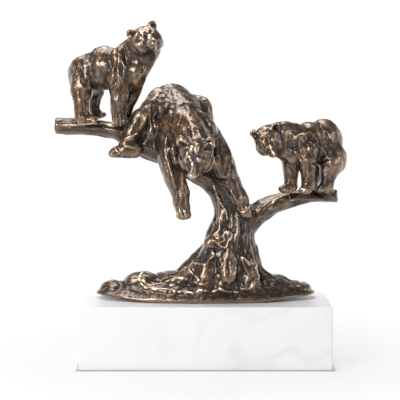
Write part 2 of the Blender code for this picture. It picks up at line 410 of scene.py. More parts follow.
@dataclass(frozen=True)
class BearHead:
    """The head of one bear. `at` is the centre of its skull and the turns are in degrees."""

    name: str
    at: Vector
    radius: float
    look: Vector
    up: Vector
    turn_left: float = 0.0
    turn_down: float = 0.0
    line_steps: int = 8

    def over(self, height: float) -> "BearHead":
        """The same head lifted by a height."""
        return replace(self, at=self.at + Vector((0.0, 0.0, height)))

    def settle(self, skin: Skin) -> None:
        """Turns the head on its neck to the way it really looks.

        Args:
            skin: the casting's skin.
        """
        if self.turn_left or self.turn_down:
            swing = Matrix.Rotation(-math.radians(self.turn_left), 3, "Z")
            nod = Matrix.Rotation(math.radians(self.turn_down), 3, "X")
            skin.turn(self.at, self.radius, nod @ swing)

    def place(self, share: Share) -> Vector:
        """A point of the head.

        Args:
            share: how far ahead, to its own left and above, in radii.

        Returns:
            The point in metres.
        """
        forward, side, crown = axes_of(self.look, self.up)
        ahead, left, above = share
        return self.at + self.radius * (ahead * forward + left * side + above * crown)

    def tool(self, skin: Skin, mark: FaceMark, hand: float = 1.0) -> None:
        """Tools one mark, laid onto the skin nearest to it.

        Args:
            skin: the casting's skin.
            mark: the line or spot.
            hand: 1 for the bear's left side, -1 for its right.
        """
        shares = [(ahead, side * hand, above) for ahead, side, above in mark.path]
        line = [
            tuple(a + step / self.line_steps * (b - a) for a, b in zip(start, end))
            for start, end in zip(shares, shares[1:])
            for step in range(self.line_steps)
        ]
        onto = [tuple(skin.search.find_nearest(self.place(share))[0]) for share in line or shares]
        skin.tool_along(np.array(onto), mark.lift * self.radius, mark.width * self.radius, mark.rub)

    def model_face(self, skin: Skin) -> None:
        """Models lips, ruff, ears and nostrils on both sides of the head, then nose and mouth.

        Args:
            skin: the casting's skin.
        """
        for hand in (-1.0, 1.0):
            for mark in (LIP, RUFF, EAR, NOSTRIL):
                self.tool(skin, mark, hand)
        for mark in (NOSE, MOUTH):
            self.tool(skin, mark)


FACE_TOOLING: tuple[Mark, ...] = (
    crest(1.0, 1.0, (135, 38.5), (136, 34.5), (138.8, 31.2), (142.8, 33.4)),
    groove(1.3, 0.8, (137.6, 35.8), (140, 35.2), (143.4, 35.6)),
    crest(0.7, 1.0, (139.6, 38.6)),
    crest(0.8, 1.3, (136.5, 44.4), (139, 43.8), (141.5, 44.6)),
    groove(0.9, 1.2, (144.8, 32), (145, 38), (145.5, 44)),
    crest(1.1, 1.8, (148.4, 41), (149, 38), (150.8, 35.8)),
    groove(0.7, 0.7, (150.2, 37.6)),
    crest(0.7, 0.9, (153.4, 39.2)),
    groove(0.9, 0.7, (148.5, 44.6), (151.5, 42), (154.5, 41.3)),
    crest(0.7, 0.8, (152.2, 43.6), (153.5, 43.2), (154.4, 44)),
    groove(0.6, 0.7, (151, 46), (153.5, 46.2), (155, 45)),
    groove(0.9, 0.9, (156.8, 37), (157.4, 41), (157, 46)),
    ridge(0.7, 0.8, (159, 38), (160, 43), (158.5, 48.5)),
    crest(0.5, 0.9, (148.6, 29.4)),
    groove(0.9, 1.2, (151, 31.2)),
    ridge(0.8, 0.8, (125.2, 38), (124.9, 34.5), (127, 31.6), (130, 31.6)),
    groove(1.3, 0.9, (128.8, 35)),
    ridge(0.5, 0.9, (131, 42), (132.5, 48), (134, 54)),
    ridge(0.5, 0.9, (142, 50), (145, 52), (149, 52.5)),
    crest(1.4, 1.3, (177.3, 144.6), (178.8, 141), (181.8, 139.8), (185.6, 141.6)),
    groove(2.0, 1.1, (179.3, 144), (182.5, 143.8), (186, 144.6)),
    ridge(0.8, 0.8, (179.5, 149.8), (184, 148.4), (188, 146.8)),
    crest(1.3, 1.3, (204.8, 145), (208, 143), (211, 142.8), (214.3, 146.6)),
    groove(1.9, 1.2, (204.5, 148.5), (208, 148), (212, 149.2)),
    ridge(0.7, 2.4, (191.0, 151.8), (191.4, 148.6), (193, 146)),
    crest(0.4, 1.5, (189.2, 152.4), (191, 149.6), (192, 147)),
    ridge(0.6, 2.2, (197, 144), (196.6, 148), (195.8, 152)),
    crest(0.3, 1.5, (197.4, 144), (197, 147.6), (195.8, 151)),
    groove(0.5, 1.2, (193.8, 150), (193.5, 154), (193, 159)),
    crest(1.0, 0.9, (187, 152), (187, 155.5), (185.2, 159), (186, 163)),
    crest(0.8, 0.9, (187, 155.5), (189.8, 158), (191, 161)),
    groove(1.0, 0.7, (187.2, 159.8)),
    groove(1.0, 1.6, (181.2, 157)),
    crest(1.4, 1.7, (198.6, 160)),
    groove(0.7, 0.6, (198.1, 161.6)),
    groove(1.2, 1.6, (204, 158)),
    groove(1.0, 1.1, (189, 165.5), (188.5, 169), (187.3, 171)),
    groove(1.1, 1.2, (197.6, 164.8), (198, 169), (198.6, 173)),
    crest(1.2, 1.7, (192.8, 163), (192.6, 168), (191.6, 175)),
    crest(0.7, 2.4, (190.6, 174.6)),
    crest(0.9, 0.8, (194.6, 165.5), (195, 170), (195.6, 174.6)),
    crest(0.9, 1.1, (188, 173.4), (191, 176.3), (195.5, 178)),
    groove(0.8, 0.6, (190.8, 175.6)),
    groove(0.8, 0.6, (194.6, 176.6)),
    ridge(2.2, 4.6, (174.5, 150)),
    ridge(1.6, 3.4, (177, 160)),
    crest(1.1, 1.2, (263.6, 142)),
    crest(1.2, 1.5, (272.8, 139.6)),
    ridge(0.9, 1.6, (260, 136.6), (263.5, 135.2), (267.5, 135.2)),
    groove(1.0, 1.0, (261.6, 139.3)),
    groove(0.9, 0.9, (266, 137.8), (267.5, 142), (267, 147)),
    groove(1.2, 1.5, (263.5, 147)),
    groove(0.8, 1.2, (276.5, 142), (277.5, 148), (276.5, 153)),
    crest(0.9, 0.8, (271.4, 145.5), (271.2, 149.5), (272.2, 153)),
    crest(1.0, 1.0, (273.8, 154.6)),
    crest(1.0, 0.8, (251, 131), (253, 129.6), (254.8, 130.6)),
    groove(0.9, 0.8, (256, 132.3)),
    crest(1.2, 0.8, (270.8, 129), (273.4, 124.6), (276.4, 122.8), (278.6, 124.2)),
    groove(1.5, 0.9, (272.6, 128.4), (275, 126), (277.6, 126)),
    ridge(0.8, 0.8, (255.4, 142.6), (260, 150), (267.5, 154.6)),
    groove(0.7, 0.7, (257.4, 141.6), (261.8, 149), (268.5, 153)),
)

LEFT_CUB_TOOLING: tuple[Mark, ...] = (
    groove(1.7, 1.1, (116, 46), (116.2, 60), (115, 72), (114.6, 80), (111, 89)),
    ridge(0.8, 1.2, (118, 54), (123, 63), (124.3, 71), (121, 83)),
    ridge(0.6, 1.0, (117.8, 62), (118, 72), (119.5, 79), (117, 88)),
    ridge(0.7, 1.2, (126, 48), (129, 55), (131, 62)),
    groove(0.8, 1.0, (123.5, 44), (125, 54), (126, 62), (129.5, 70)),
    groove(0.6, 1.0, (137, 58), (142, 65), (141, 74)),
    ridge(1.3, 7.0, (104, 66)),
    ridge(0.8, 5.0, (106, 80)),
    ridge(0.3, 1.6, (92, 73), (95, 80), (99, 87)),
    groove(0.25, 1.4, (99, 57), (100, 66), (103, 77)),
    groove(0.6, 2.2, (94, 60), (91, 68), (94, 80)),
    ridge(0.4, 2.0, (84, 61), (88, 58.5), (92.5, 59)),
    groove(0.9, 0.9, (81, 56), (89, 51), (97, 48)),
    ridge(0.8, 1.5, (73, 65), (76, 72), (79.5, 79)),
    groove(0.9, 1.6, (80, 60), (83, 72), (86, 84), (90, 93)),
    ridge(0.7, 1.0, (80, 82), (83, 89), (83.6, 98)),
    ridge(0.5, 1.0, (80, 98), (80.5, 106), (79.5, 113)),
    groove(0.6, 1.0, (85, 99), (86.5, 106), (86, 112)),
    ridge(0.6, 0.8, (79, 117.5), (85, 116.8), (90, 115)),
    ridge(0.5, 0.8, (113.5, 97), (115.5, 101), (118, 98)),
    ridge(0.6, 1.0, (109.5, 88), (113, 86), (115, 83)),
    groove(1.3, 1.1, (132, 83), (128, 93), (126.5, 104), (127, 115)),
    ridge(0.7, 0.8, (116.5, 112), (116.5, 119), (117.5, 127)),
    ridge(0.7, 0.8, (120.2, 113), (120.5, 121), (121, 129)),
    ridge(0.7, 0.8, (123.6, 113), (124, 121), (124.3, 128)),
    groove(0.7, 0.7, (118.4, 114), (118.6, 121), (119.3, 128)),
    groove(0.7, 0.7, (122, 114), (122.2, 121), (122.7, 128)),
)

MOTHER_TOOLING: tuple[Mark, ...] = (
    groove(1.0, 4.5, (164, 112)),
    groove(1.1, 1.8, (175, 102), (172.6, 112), (171.5, 121), (169, 131)),
    ridge(0.6, 1.0, (157, 108), (158.5, 117), (161, 125), (165, 134)),
    ridge(0.8, 1.4, (176.5, 108), (180, 113), (180.5, 119), (177, 126)),
    groove(0.6, 1.2, (184, 102), (187, 110), (185, 119)),
    groove(1.0, 2.4, (162, 99)),
    ridge(0.8, 1.0, (156.5, 97), (159, 93), (164, 92.3), (168.5, 96.5), (167, 104)),
    groove(0.6, 1.0, (170.5, 87), (173, 95), (173.5, 102)),
    ridge(0.8, 0.9, (180, 132), (183, 128.7), (187, 131)),
    ridge(0.55, 1.5, (190.6, 128.5), (193.0, 131), (193, 136)),
    crest(0.3, 0.8, (191.6, 128.5), (193.2, 131), (193, 134.5)),
    ridge(0.5, 1.5, (197.2, 130.5), (199, 133), (199.6, 137)),
    groove(0.7, 0.9, (188.8, 127.5), (190, 134), (190, 139)),
    groove(1.3, 1.2, (176.5, 128), (172, 138), (170.4, 150), (173, 162), (178.5, 170)),
    groove(1.3, 1.3, (214, 146), (213, 158), (209.5, 168), (203, 175)),
    ridge(0.7, 1.4, (168.5, 132), (165.5, 142), (164.5, 152), (167, 162)),
    ridge(0.8, 1.0, (168, 164), (171.5, 173), (173.5, 182), (176, 191)),
    groove(0.6, 1.0, (165, 159), (167.5, 169), (171, 181)),
    ridge(0.6, 1.0, (181, 184), (182, 193), (180.5, 203)),
    groove(0.6, 0.9, (178, 188), (178, 198), (177, 206)),
    crest(0.8, 0.8, (175.3, 208), (176.5, 212), (178.5, 215.5)),
    crest(0.9, 0.8, (179.4, 210), (181, 214), (182.6, 218)),
    crest(0.9, 0.8, (184.2, 211), (185.4, 215), (185.8, 218.6)),
    groove(0.8, 0.7, (177.6, 209.5), (179.6, 215)),
    groove(0.8, 0.7, (181.9, 210), (184, 217)),
    groove(0.7, 0.7, (187, 210), (188, 216)),
    ridge(0.7, 1.3, (225.5, 142), (229.5, 150), (231.5, 158), (230, 168), (229.5, 176)),
    groove(0.8, 1.5, (218, 148), (221.5, 158), (223.5, 170)),
    ridge(0.7, 0.9, (226.5, 160), (228.3, 168), (228, 176)),
    groove(0.9, 1.0, (213, 176), (221, 179.5), (230, 178.5)),
    ridge(0.9, 0.8, (221, 186), (226, 192), (231, 199), (234, 205)),
    ridge(0.8, 0.8, (219, 184), (225, 184.5), (230.5, 190), (236, 200), (237.5, 206)),
    ridge(0.6, 0.8, (236, 180), (240, 191), (243, 200)),
    groove(0.8, 0.8, (223, 183.5), (229.5, 193), (235, 203.5)),
    groove(0.7, 0.8, (233, 181), (237, 191), (240.5, 201)),
    crest(1.1, 0.8, (237.3, 208), (240.5, 211.5), (244.5, 211.8), (248, 208), (250.5, 204.5)),
    groove(0.8, 0.7, (239, 205.5), (241, 209)),
    groove(0.8, 0.7, (243.5, 203.5), (245, 208)),
    ridge(0.9, 1.3, (204.5, 99), (208.5, 103), (208, 111)),
    groove(1.3, 0.9, (189, 99.5), (198, 109), (205, 118), (210.5, 129)),
    crest(0.6, 2.0, (138, 113), (142, 116.5), (143.5, 121), (141.5, 127)),
    groove(1.4, 1.4, (148, 114), (148.5, 126), (145, 136), (140, 146)),
    crest(0.9, 1.1, (125, 139), (131, 136.2), (137.5, 133.5)),
    groove(0.9, 1.0, (124, 144), (130, 141.5), (136.5, 141)),
    crest(0.9, 1.2, (121, 150.5), (127, 146.5), (134.5, 148)),
    crest(0.9, 0.8, (113, 147.5), (116.5, 150), (119, 153.5)),
    groove(0.7, 0.7, (112, 151), (116, 153.5)),
    groove(1.2, 1.1, (152.5, 103), (152, 115), (153.5, 127), (157.5, 137)),
    ridge(0.6, 0.8, (150.4, 106), (150.2, 114), (151, 123)),
)

RIGHT_CUB_TOOLING: tuple[Mark, ...] = (
    groove(1.3, 1.4, (280, 129), (283.5, 140), (283, 150), (278, 159)),
    crest(0.8, 0.8, (290, 133), (293.5, 135.5), (295, 139), (297.5, 135), (304, 133)),
    ridge(1.0, 0.8, (299, 141), (300, 147), (302, 153)),
    ridge(1.0, 0.8, (305, 134), (310.5, 132.3), (314, 137), (317.3, 141), (313, 145), (310.5, 141)),
    groove(0.8, 1.0, (312.5, 140.5)),
    ridge(0.8, 0.9, (295, 149), (297.5, 156), (301.5, 162.5)),
    ridge(0.8, 0.8, (312.5, 150), (315, 154), (316.8, 158.5)),
    crest(1.0, 0.8, (320.3, 124.5), (323, 130.5), (327.5, 132.5), (330, 138)),
    ridge(0.5, 0.9, (327.5, 132.5), (327, 138), (325.5, 143)),
    ridge(0.7, 0.9, (321.5, 147), (324.5, 152), (328, 157.5)),
    ridge(0.5, 1.0, (331, 138), (335.5, 147)),
    groove(0.7, 0.9, (304, 138), (307, 148), (309, 158)),
    groove(0.7, 1.0, (319, 138), (320.5, 147), (319, 158)),
    groove(0.6, 0.9, (296, 139), (297, 147), (299, 155)),
    groove(1.5, 1.2, (312, 163.8), (321, 162), (330, 158.8)),
    ridge(0.6, 1.0, (307, 160), (307.6, 170), (307.5, 182)),
    groove(0.9, 0.9, (297, 159), (297.5, 166), (298, 172)),
    crest(0.8, 0.7, (297.8, 191), (300.5, 188.8), (303.8, 190), (302.6, 192.5)),
    ridge(0.6, 0.8, (323, 170), (325, 178), (324, 186)),
    ridge(0.6, 0.7, (275.5, 190.5), (279, 187.6), (283, 187)),
    crest(0.8, 0.8, (272.5, 202.5), (281, 196.6), (289, 194.6)),
    crest(0.7, 0.8, (289, 195), (291, 200), (297, 198.6)),
    ridge(0.6, 0.9, (258, 211), (265, 204.5), (272, 200.5)),
    groove(0.7, 0.9, (262, 214), (271, 206.5), (284, 201)),
    groove(0.5, 0.8, (300, 196.5), (315, 195), (331, 196)),
    ridge(0.6, 0.8, (301, 200.5), (312, 199), (324, 199.5)),
)

TREE_TOOLING: tuple[Mark, ...] = (
    crest(0.9, 0.9, (60, 125.5), (74, 125), (90, 123.5), (104, 123.8), (115, 126)),
    groove(0.4, 0.8, (60, 131), (80, 130), (100, 131.5), (114, 135)),
    groove(0.6, 0.7, (58, 121.5), (66, 122), (76, 121)),
    crest(0.95, 0.8, (213.5, 186), (217.3, 196), (222, 204.5), (226.3, 212.5), (227.3, 226)),
    groove(1.0, 0.9, (215.5, 188), (219.8, 197), (224.6, 205.5), (229, 213), (230, 226)),
    ridge(0.5, 1.0, (220, 214), (219.5, 224), (221, 233)),
    groove(0.6, 1.1, (216, 206), (215.5, 219), (216, 231)),
    groove(0.9, 1.3, (234, 214), (234.5, 228), (233, 242), (233, 254)),
    groove(0.8, 1.2, (241, 218), (241.5, 232), (240, 247)),
    ridge(0.5, 1.1, (237.5, 217), (238, 232), (236.5, 248)),
    groove(0.7, 1.2, (248, 222), (249, 238), (247, 254)),
    ridge(0.7, 1.0, (252, 240), (254.5, 250), (253.5, 260)),
    crest(
        0.95, 0.8, (224.8, 240), (223.6, 235), (226.5, 231), (231.3, 233), (231.6, 237.5),
        (227.6, 241),
    ),
    groove(1.4, 0.9, (226, 236.3)),
    groove(1.4, 0.9, (229.8, 236.3)),
    crest(0.95, 0.8, (224.5, 240.5), (221, 242), (217, 243), (214.3, 240.6), (213, 237.5)),
    crest(1.1, 0.9, (218, 244), (222.5, 246.8), (226.3, 247), (227.5, 241.5)),
    groove(1.3, 1.1, (222.5, 244.6)),
    ridge(1.2, 1.8, (213.5, 241)),
    groove(1.4, 1.2, (208, 248.5), (217, 250.5), (226, 250.5)),
    crest(
        0.95, 0.8, (212.5, 252.5), (213.5, 255.5), (209, 260), (206, 264.5), (199, 264),
        (191.5, 263),
    ),
    groove(1.0, 1.2, (211, 250), (205, 255.5), (196, 259.5)),
    crest(1.0, 0.8, (188.6, 268.5), (193, 274), (199.5, 280.5)),
    ridge(0.8, 0.9, (214, 262), (216.5, 270), (214, 277)),
    crest(1.1, 0.8, (220.8, 256), (220.4, 261), (222.5, 265), (219.5, 268)),
    groove(1.2, 1.2, (218, 258), (218, 268), (220, 278)),
    crest(0.9, 0.8, (234, 257), (236.4, 264), (235.2, 274)),
    groove(1.4, 1.6, (228.5, 258), (229, 268), (228, 278)),
    crest(0.95, 0.8, (242.2, 257.3), (246, 259.6), (249.4, 265)),
    groove(1.2, 1.6, (240, 262), (242.5, 270), (247.5, 277)),
    crest(1.0, 0.8, (257.5, 265.5), (255.2, 270), (258.6, 276), (257.3, 281), (253, 285.3)),
    crest(0.95, 0.8, (253, 285.3), (249.5, 288.7), (242, 288.6), (239, 286.6)),
    groove(1.0, 1.3, (253, 268), (254, 277), (248, 284)),
    crest(1.4, 1.8, (220.4, 284)),
    groove(1.2, 1.6, (226, 285)),
    groove(1.0, 1.5, (213, 285)),
    ridge(0.7, 0.9, (197, 286), (206, 283.5), (212, 280)),
)

MOUND_TOOLING: tuple[Mark, ...] = (
    crest(0.6, 0.9, (139.3, 279), (141, 273.8), (147, 272.3), (153, 275.5)),
    crest(0.6, 0.9, (139.3, 279), (141.7, 285), (147, 287.4), (156, 288.7)),
    crest(0.6, 0.9, (156, 288.7), (168, 289.4), (177, 291.7), (186, 291)),
    crest(0.6, 0.9, (186, 291), (193.5, 293), (201, 290.2), (211.5, 292.4)),
    crest(0.55, 0.9, (211.5, 292.4), (220.5, 289), (226, 291.5), (238, 292)),
    ridge(0.9, 0.8, (262, 289), (268, 287.5), (276, 290.5)),
    groove(0.9, 0.9, (140, 282), (144, 288.6), (156, 291), (176, 293.6), (200, 294.6)),
    crest(
        0.55, 0.9, (142.5, 279.7), (150, 285), (160.5, 283.3), (169.5, 280.5), (178.5, 277.5),
        (187, 279),
    ),
    groove(1.3, 1.2, (146, 276.5), (153, 281), (164, 280.5), (176, 275.8)),
    ridge(0.9, 0.8, (154.5, 275.5), (164, 276), (175.5, 273), (186, 267)),
    ridge(0.8, 0.8, (184, 284), (192, 281.5), (200, 284)),
    groove(0.9, 1.0, (183, 287), (196, 286), (207, 288.5)),
    ridge(0.7, 0.8, (108, 285.5), (118, 283), (130, 283.5)),
    ridge(0.6, 0.8, (262, 280), (271, 276.5), (279, 279)),
    groove(0.7, 0.9, (262, 283.5), (274, 281.5), (286, 283.5)),
)

TOOLING = (
    *FACE_TOOLING,
    *LEFT_CUB_TOOLING,
    *MOTHER_TOOLING,
    *RIGHT_CUB_TOOLING,
    *TREE_TOOLING,
    *MOUND_TOOLING,
)


class Wave(NamedTuple):
    """One noise of the relief: its height in millimetres and how tight it runs along each axis."""

    height: float
    pitch: Share

    def at(self, x: float, y: float, z: float) -> float:
        """The noise's height at a place in metres."""
        across, deep, up = self.pitch
        return self.height * noise.noise(Vector((x * across, y * deep, z * up)))


class Grain(NamedTuple):
    """A noise that runs along the wood: how tight it is across and along."""

    across: float
    along: float

    def at(self, across: np.ndarray, along: np.ndarray) -> float:
        """The noise where a point stands off the axis and along it."""
        return noise.noise(Vector(across * self.across + along * self.along))


@dataclass(frozen=True)
class Relief:
    """The modeller's thumb marks on the figures, the bark of the tree and the rock of the mound.

    Heights are in millimetres. The rock gives way to bark over `rock_fade` above `rock_height`, and
    the relief grows from nothing over `rim_fade` above the mound's rim.
    """

    broad: Wave = Wave(0.90, (70.0, 70.0, 70.0))
    thumb: Wave = Wave(0.60, (190.0, 190.0, 120.0))
    hair: Wave = Wave(0.28, (430.0, 430.0, 260.0))
    bark_height: float = 0.42
    furrow: Grain = Grain(150.0, 26.0)
    fibre: Grain = Grain(380.0, 70.0)
    knots: Wave = Wave(0.70, (120.0, 120.0, 120.0))
    crag: Wave = Wave(0.95, (110.0, 110.0, 110.0))
    chips: Wave = Wave(0.70, (300.0, 300.0, 300.0))
    growth: Share = (1.0, 0.6, 1.0)
    rock_height: float = 17.0
    rock_fade: float = 6.0
    rim_height: float = 1.0
    rim_fade: float = 8.0
    rim_power: float = 0.7

    def bears(self, x: float, y: float, z: float) -> float:
        """The relief of hide and flesh at a place."""
        return self.broad.at(x, y, z) + self.thumb.at(x, y, z) + self.hair.at(x, y, z)

    def bark(self, x: float, y: float, z: float, across: np.ndarray, along: np.ndarray) -> float:
        """The relief of bark at a place.

        Args:
            x: the place's X in metres.
            y: its Y.
            z: its Z.
            across: its step off the wood's axis, in metres.
            along: its length along the axis, times the growth of each direction.

        Returns:
            The height in millimetres.
        """
        furrow = 1.0 - 2.0 * abs(self.furrow.at(across, along))
        fibre = self.fibre.at(across, along)
        return self.bark_height * furrow + self.bark_height * fibre + self.knots.at(x, y, z)

    def rock(self, x: float, y: float, z: float) -> float:
        """The relief of rock at a place."""
        return self.crag.at(x, y, z) + self.chips.at(x, y, z)


@dataclass(frozen=True)
class Wear:
    """How the surface's own form turns into rubbed places and dark ones, of sooty patina and painted
    shade.

    The surface is smoothed step by step, and what stands out of it after few, more and many steps is
    its fine, broad and massive form. Forms are in millimetres, massive ones in shares of their 90th
    percentile. The shares say how much each of the three counts.
    """

    steps: tuple[int, int, int] = (3, 24, 70)
    pull: float = 0.6
    mass_percentile: float = 90.0
    raised_shares: Share = (0.45, 0.35, 0.35)
    sunk_shares: Share = (0.4, 0.6, 0.3)
    raised_fine: float = 0.16
    raised_broad: float = 0.9
    broad_spared: float = 0.15
    sunk_fine: float = 0.14
    sunk_broad: float = 0.7
    rub_reach: float = 2.5
    rub_spread: float = 0.95

    def forms(self, mesh: bpy.types.Mesh) -> list[np.ndarray]:
        """Measures the fine, broad and massive form at each point.

        Args:
            mesh: the casting's mesh.

        Returns:
            Three rows of distances that the points stand out, below zero in hollows.
        """
        points = read_vectors(mesh, "co")
        normals = read_vectors(mesh, "normal")
        count = len(points)
        pairs = np.empty(len(mesh.edges) * 2, np.int32)
        mesh.edges.foreach_get("vertices", pairs)
        starts, ends = pairs.reshape(-1, 2).T
        degree = np.bincount(pairs, minlength=count)[:, None].astype(np.float64)
        smooth = points.copy()
        measured: list[np.ndarray] = []
        for step in range(1, max(self.steps) + 1):
            total = np.zeros_like(smooth)
            for axis in range(3):
                column = smooth[:, axis]
                total[:, axis] = np.bincount(starts, column[ends], count)
                total[:, axis] += np.bincount(ends, column[starts], count)
            smooth = (1.0 - self.pull) * smooth + self.pull * total / degree
            if step in self.steps:
                measured.append(((points - smooth) * normals).sum(axis=1) / MM)
        measured[2] = measured[2] / np.percentile(measured[2], self.mass_percentile)
        return measured

    def raised(self, forms: Sequence[np.ndarray]) -> np.ndarray:
        """How far each point stands proud, from 0 to 1.

        Args:
            forms: the fine, broad and massive form.

        Returns:
            One share for each point.
        """
        fine, broad, mass = forms
        proud = self.raised_shares[0] * unit(fine / self.raised_fine)
        proud += self.raised_shares[1] * unit((broad - self.broad_spared) / self.raised_broad)
        return unit(proud + self.raised_shares[2] * unit(mass))

    def sunk(self, forms: Sequence[np.ndarray]) -> np.ndarray:
        """How deep each point lies in a hollow, from 0 to 1; there the bronze darkens, partly as sooty
        patina and partly as painted shade.

        Args:
            forms: the fine, broad and massive form.

        Returns:
            One share for each point.
        """
        fine, broad, mass = forms
        deep = self.sunk_shares[0] * unit(-fine / self.sunk_fine)
        deep += self.sunk_shares[1] * unit(-broad / self.sunk_broad)
        return unit(deep + self.sunk_shares[2] * unit(-mass))

    def worn(self, points: np.ndarray, rubs: Sequence[Rub]) -> np.ndarray:
        """How far the patina is worn through at each point.

        Args:
            points: the points in metres.
            rubs: the rows of places worn through by hand.

        Returns:
            One share for each point.
        """
        worn = np.zeros(len(points))
        for rub in rubs:
            reach = self.rub_reach * rub.width
            near = inside(points, rub.places.min(axis=0) - reach, rub.places.max(axis=0) + reach)
            if len(near):
                gaps = np.linalg.norm(points[near, None, :] - rub.places[None], axis=2)
                strength = rub.strength[gaps.argmin(axis=1)]
                wear = strength * np.exp(-((gaps.min(axis=1) / (self.rub_spread * rub.width)) ** 2))
                worn[near] = np.maximum(worn[near], wear)
        return worn


@dataclass
class BronzeCasting:
    """The bronze: two cubs and their mother in a leaning tree on an oval mound, one casting.

    The axes are in millimetres over the block's top, and the heads' heights are counted from it. A
    girth lists lengths along its axis and the wood's radius there, in millimetres. The mound's rim
    lifts by `rim_lift` between `rim_starts` and `rim_ends` from the middle.
    """

    view: PhotoView
    node: str = "bronze_bears"
    slot: str = "bronze"
    grain: float = 0.78 * MM
    facets_softened: int = 9
    softening: float = 0.5
    triangle_limit: int = 192_000
    weld: float = 0.01 * MM
    seat_skin: float = 0.5 * MM
    rim_lift: float = 3.4 * MM
    rim_height: float = 7.0 * MM
    rim_starts: float = 38.0 * MM
    rim_ends: float = 84.0 * MM
    wood_fade: float = 3.0
    relief: Relief = Relief()
    wear: Wear = Wear()
    tree_axis: tuple[Share, ...] = (
        (16.0, 4.0, 4.0),
        (20.0, 4.0, 48.0),
        (22.0, 4.0, 66.0),
        (17.6, 3.0, 82.0),
        (-12.0, 3.0, 108.0),
        (-52.0, 3.0, 126.6),
        (-86.0, 3.0, 138.0),
        (-122.0, 3.0, 140.0),
    )
    right_limb_axis: tuple[Share, ...] = (
        (24.0, 3.0, 54.0),
        (47.5, 1.0, 72.0),
        (78.0, 0.0, 82.6),
        (108.0, 0.0, 83.2),
    )
    trunk_girth: Girth = ((0.0, 48.0, 80.0, 120.0, 200.0), (34.0, 22.0, 16.0, 13.0, 9.0))
    limb_girth: Girth = ((0.0, 40.0, 100.0), (13.0, 9.5, 7.5))
    heads: tuple[BearHead, ...] = field(
        default_factory=lambda: (
            BearHead(
                "left cub",
                Vector((-47.2, -12.0, 209.4)) * MM,
                12.3 * MM,
                Vector((0.34, -0.90, 0.20)),
                Vector((-0.42, 0.10, 1.00)),
                turn_left=8.0,
                turn_down=11.0,
            ),
            BearHead(
                "right cub",
                Vector((49.4, -19.5, 131.1)) * MM,
                11.6 * MM,
                Vector((0.20, -0.86, -0.46)),
                Vector((-0.30, -0.30, 0.90)),
                turn_down=8.0,
            ),
            BearHead(
                "mother",
                Vector((-7.2, -36.0, 121.7)) * MM,
                14.6 * MM,
                Vector((-0.14, -0.68, -0.72)),
                Vector((-0.10, -0.72, 0.66)),
            ),
        )
    )

    def build(self, finish: "RubbedBronze") -> bpy.types.Object:
        """Copies, refines, tools, thins and dresses the casting.

        Args:
            finish: its patina.

        Returns:
            The finished piece.
        """
        piece = self.copy_of_solid()
        finish_with(piece, "REMESH", mode="VOXEL", voxel_size=self.grain)
        finish_with(piece, "SMOOTH", factor=self.softening, iterations=self.facets_softened)
        skin = Skin(piece, self.view)
        log.info("casting fused into %d points", len(skin.points))
        self.lay_relief(skin)
        heads = [head.over(self.view.block_top) for head in self.heads]
        for head in heads:
            head.model_face(skin)
            log.info("face of the %s modelled", head.name)
        skin.store()
        for head in heads:
            head.settle(skin)
        for mark in TOOLING:
            skin.tool(mark)
        skin.store()
        log.info("%d marks tooled", len(TOOLING))
        finish_with(piece, "SMOOTH", factor=self.softening, iterations=1)
        self.thin(piece)
        self.level_seat(piece)
        self.weather(piece, skin.rubs)
        make_active(piece)
        bpy.ops.object.shade_smooth()
        piece.data.materials.clear()
        piece.data.materials.append(finish.material())
        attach(piece, "root")
        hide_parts(self.node)
        return piece

    def copy_of_solid(self) -> bpy.types.Object:
        """Copies the solid and merges its loose triangles.

        Returns:
            The copy, selected alone.
        """
        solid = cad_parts[self.node]
        piece = bpy.data.objects.new("bears_in_tree", solid.data.copy())
        bpy.context.scene.collection.objects.link(piece)
        make_active(piece)
        bpy.ops.object.mode_set(mode="EDIT")
        bpy.ops.mesh.select_all(action="SELECT")
        bpy.ops.mesh.remove_doubles(threshold=self.weld)
        bpy.ops.object.mode_set(mode="OBJECT")
        return piece

    def distance_to(
        self, axis: Sequence[Share], points: np.ndarray
    ) -> tuple[np.ndarray, np.ndarray, np.ndarray]:
        """How far points lie from a bent axis, and where along and across it.

        Args:
            axis: the axis.
            points: the points in metres.

        Returns:
            The distances, the lengths along the axis and the steps across it, all in metres.
        """
        knots = np.array(axis) * MM + np.array((0.0, 0.0, self.view.block_top))
        best = np.full(len(points), np.inf)
        along = np.zeros(len(points))
        across = np.zeros((len(points), 3))
        run = 0.0
        for start, end in zip(knots, knots[1:]):
            span = end - start
            length = float(np.linalg.norm(span))
            share = unit((points - start) @ span / length**2)
            steps = points - (start + share[:, None] * span)
            gaps = np.linalg.norm(steps, axis=1)
            closer = gaps < best
            across[closer] = steps[closer]
            best[closer] = gaps[closer]
            along[closer] = run + share[closer] * length
            run += length
        return best, along, across

    def wood_at(
        self, axis: Sequence[Share], girth: Girth, points: np.ndarray
    ) -> tuple[np.ndarray, np.ndarray, np.ndarray]:
        """How much of each point is wood, not bear.

        Args:
            axis: the wood's axis.
            girth: the wood's radius along it.
            points: the points in metres.

        Returns:
            Shares from 0 to 1, and the lengths along the axis and steps across it in metres.
        """
        away, run, across = self.distance_to(axis, points)
        radius = np.interp(run / MM, *girth)
        return 1.0 - unit((away / MM - radius) / self.wood_fade), run, across

